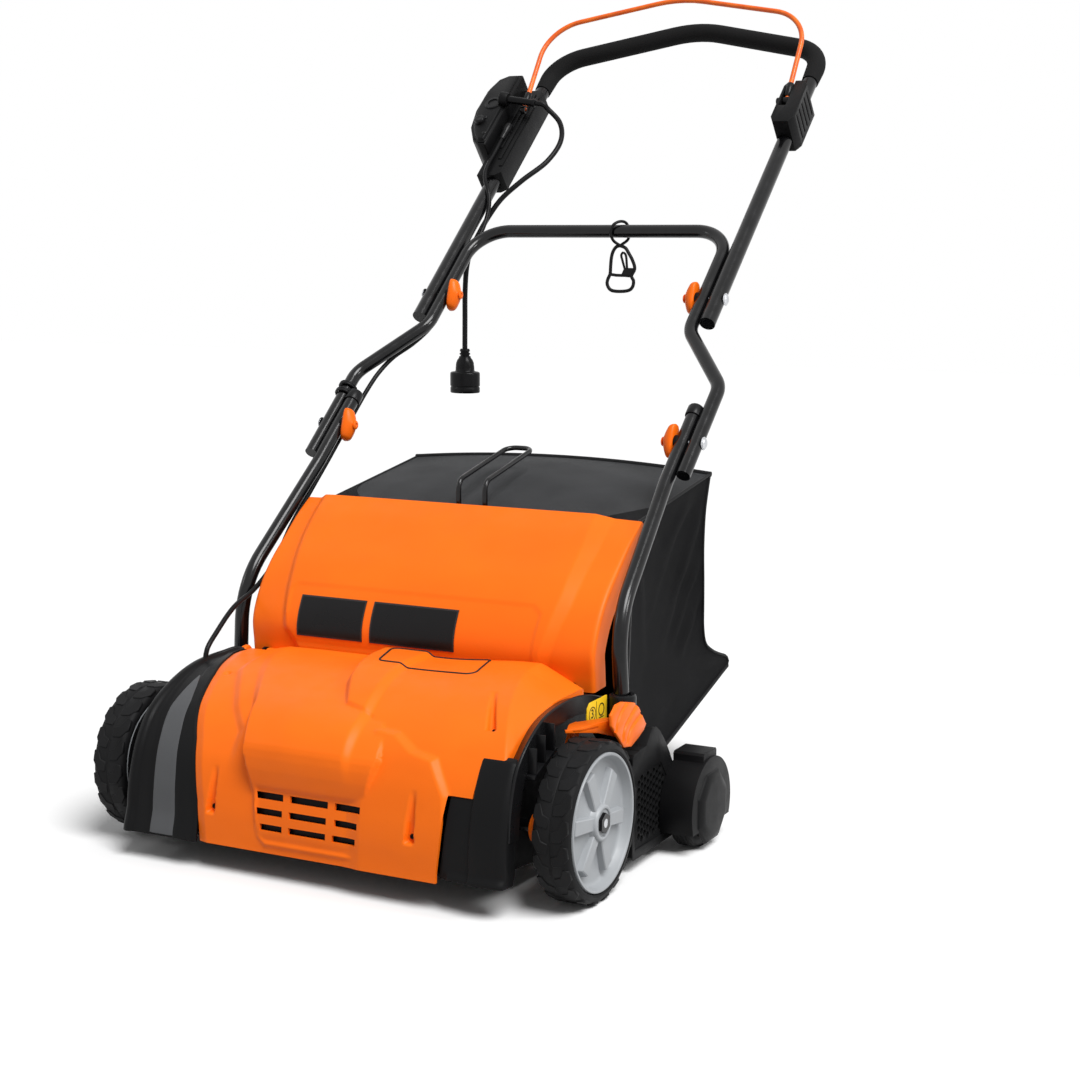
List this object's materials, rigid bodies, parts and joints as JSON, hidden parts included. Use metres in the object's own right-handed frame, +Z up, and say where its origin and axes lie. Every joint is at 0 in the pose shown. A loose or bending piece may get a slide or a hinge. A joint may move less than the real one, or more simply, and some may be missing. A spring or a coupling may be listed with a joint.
{
  "type": "electric lawn dethatcher",
  "caption": "Walk-behind electric lawn dethatcher with an orange cover, spring-tine rotor, grass bag, depth lever and a folding tube handle with an operator bail.",
  "frame": {"origin": "middle of the footprint on the ground", "axes": "+Z up, -Y the front of the machine (away from the user), +X to the right seen from the front"},
  "size_m": [0.778, 1.2396, 1.2044],
  "materials": {
    "black_plastic": "fine matt texture",
    "orange_plastic": "satin moulded",
    "grey_plastic": "satin moulded",
    "dark_grey_plastic": "matt moulded",
    "yellow_plate": "printed plate",
    "black_paint": "gloss powder coat",
    "tyre_rubber": "dull moulded tread",
    "soft_rubber": "soft satin",
    "steel": "bright zinc",
    "motor_metal": "cast can",
    "bag_fabric": "woven mesh",
    "orange_wire": "gloss coat"
  },
  "bodies": {
    "chassis": {"deck_shell": "black_plastic", "front_cover": "orange_plastic", "belt_cover": "black_plastic", "belt_cover_stripe": "dark_grey_plastic", "right_corner_cover": "black_plastic", "side_housing_left": "black_plastic", "side_housing_right": "black_plastic", "depth_plate": "yellow_plate", "motor_can": "motor_metal", "drive_belt": "soft_rubber", "hood_hinge_pin": "steel", "rear_axle": "steel", "lower_tube_left": "black_paint", "lower_tube_right": "black_paint", "motor_cable_lower": "soft_rubber"},
    "front_axle": {"crank_axle": "steel", "depth_lever": "orange_plastic"},
    "front_wheel_left": {"front_tyre_left": "tyre_rubber", "front_rim_left": "grey_plastic"},
    "front_wheel_right": {"front_tyre_right": "tyre_rubber", "front_rim_right": "grey_plastic"},
    "rear_wheel_left": {"rear_wheel_left": "black_plastic"},
    "rear_wheel_right": {"rear_wheel_right": "black_plastic"},
    "rotor": {"rotor_shaft": "black_paint", "rotor_pulley": "motor_metal", "tine_carrier_1": "black_plastic", "tine_carrier_2": "black_plastic", "tine_carrier_3": "black_plastic", "tine_carrier_4": "black_plastic", "tine_carrier_5": "black_plastic", "tine_carrier_6": "black_plastic"},
    "motor_rotor": {"motor_shaft": "steel"},
    "hood": {"hood_panel": "orange_plastic", "hood_label_left": "black_plastic", "hood_label_right": "black_plastic"},
    "grass_bag": {"bag_fabric": "bag_fabric", "bag_frame": "black_paint", "bag_handle": "black_paint"},
    "middle_handle": {"middle_tube": "black_paint", "lower_bolt_left": "steel", "lower_bolt_right": "steel", "motor_cable_middle": "soft_rubber"},
    "lower_knob_left": {"lower_knob_left": "orange_plastic"},
    "lower_knob_right": {"lower_knob_right": "orange_plastic"},
    "cord_hook": {"cord_hook": "black_plastic"},
    "upper_handle": {"upper_tube": "black_paint", "foam_grip": "soft_rubber", "switch_box": "black_plastic", "bail_bracket": "black_plastic", "upper_bolt_left": "steel", "upper_bolt_right": "steel", "strain_relief": "soft_rubber", "power_cord": "soft_rubber", "plug": "black_plastic", "motor_cable_upper": "soft_rubber"},
    "upper_knob_left": {"upper_knob_left": "orange_plastic"},
    "upper_knob_right": {"upper_knob_right": "orange_plastic"},
    "bail": {"bail": "orange_wire"},
    "lock_button": {"lock_button": "black_plastic"}
  },
  "joints": [
    {"name": "depth_crank", "type": "hinge", "parent": "chassis", "child": "front_axle", "pos_m": [0, -0.544, 0.1], "axis": [1, 0, 0], "range_deg": [-5, 10]},
    {"name": "front_wheel_left_spin", "type": "hinge", "parent": "front_axle", "child": "front_wheel_left", "pos_m": [-0.3257, -0.494, 0.1], "axis": [1, 0, 0], "continuous": true},
    {"name": "front_wheel_right_spin", "type": "hinge", "parent": "front_axle", "child": "front_wheel_right", "pos_m": [0.3257, -0.494, 0.1], "axis": [1, 0, 0], "continuous": true},
    {"name": "rear_wheel_left_spin", "type": "hinge", "parent": "chassis", "child": "rear_wheel_left", "pos_m": [-0.358, -0.234, 0.056], "axis": [1, 0, 0], "continuous": true},
    {"name": "rear_wheel_right_spin", "type": "hinge", "parent": "chassis", "child": "rear_wheel_right", "pos_m": [0.358, -0.234, 0.056], "axis": [1, 0, 0], "continuous": true},
    {"name": "rotor_spin", "type": "hinge", "parent": "chassis", "child": "rotor", "pos_m": [0, -0.364, 0.085], "axis": [1, 0, 0], "continuous": true},
    {"name": "motor_spin", "type": "hinge", "parent": "chassis", "child": "motor_rotor", "pos_m": [-0.2, -0.524, 0.166], "axis": [1, 0, 0], "continuous": true},
    {"name": "hood_hinge", "type": "hinge", "parent": "chassis", "child": "hood", "pos_m": [0, -0.354, 0.222], "axis": [1, 0, 0], "range_deg": [0, 35]},
    {"name": "bag_slide", "type": "slide", "parent": "chassis", "child": "grass_bag", "axis": [0, 0.9781, 0.2079], "range_m": [0, 0.45]},
    {"name": "lower_fold", "type": "hinge", "parent": "chassis", "child": "middle_handle", "pos_m": [0, -0.098, 0.517], "axis": [1, 0, 0], "range_deg": [0, 135], "deforming": ["motor_cable_lower", "motor_cable_middle"]},
    {"name": "upper_fold", "type": "hinge", "parent": "middle_handle", "child": "upper_handle", "pos_m": [0, 0.11404, 0.70367], "axis": [-1, 0, 0], "range_deg": [0, 75], "deforming": ["motor_cable_upper", "power_cord"]},
    {"name": "lower_knob_left_turn", "type": "hinge", "parent": "middle_handle", "child": "lower_knob_left", "pos_m": [-0.258, -0.098, 0.517], "axis": [1, 0, 0], "continuous": true},
    {"name": "lower_knob_right_turn", "type": "hinge", "parent": "middle_handle", "child": "lower_knob_right", "pos_m": [0.258, -0.098, 0.517], "axis": [1, 0, 0], "continuous": true},
    {"name": "upper_knob_left_turn", "type": "hinge", "parent": "upper_handle", "child": "upper_knob_left", "pos_m": [-0.198, 0.11404, 0.70367], "axis": [1, 0, 0], "continuous": true},
    {"name": "upper_knob_right_turn", "type": "hinge", "parent": "upper_handle", "child": "upper_knob_right", "pos_m": [0.198, 0.11404, 0.70367], "axis": [1, 0, 0], "continuous": true},
    {"name": "hook_swing", "type": "hinge", "parent": "middle_handle", "child": "cord_hook", "pos_m": [0.032, 0.22512, 0.80147], "axis": [1, 0, 0], "range_deg": [-60, 60]},
    {"name": "bail_pull", "type": "hinge", "parent": "upper_handle", "child": "bail", "pos_m": [0, 0.40758, 1.00207], "axis": [-1, 0, 0], "range_deg": [0, 16], "stiffness_Nm_per_rad": 2.5, "springref_deg": -20.05},
    {"name": "lock_press", "type": "slide", "parent": "upper_handle", "child": "lock_button", "axis": [0, 0.6608, -0.7506], "range_m": [0, 0.004], "stiffness_N_per_m": 400, "springref_m": -0.002}
  ],
  "couplings": [
    {"joint": "motor_spin", "follows": "rotor_spin", "ratio": 2.5}
  ]
}
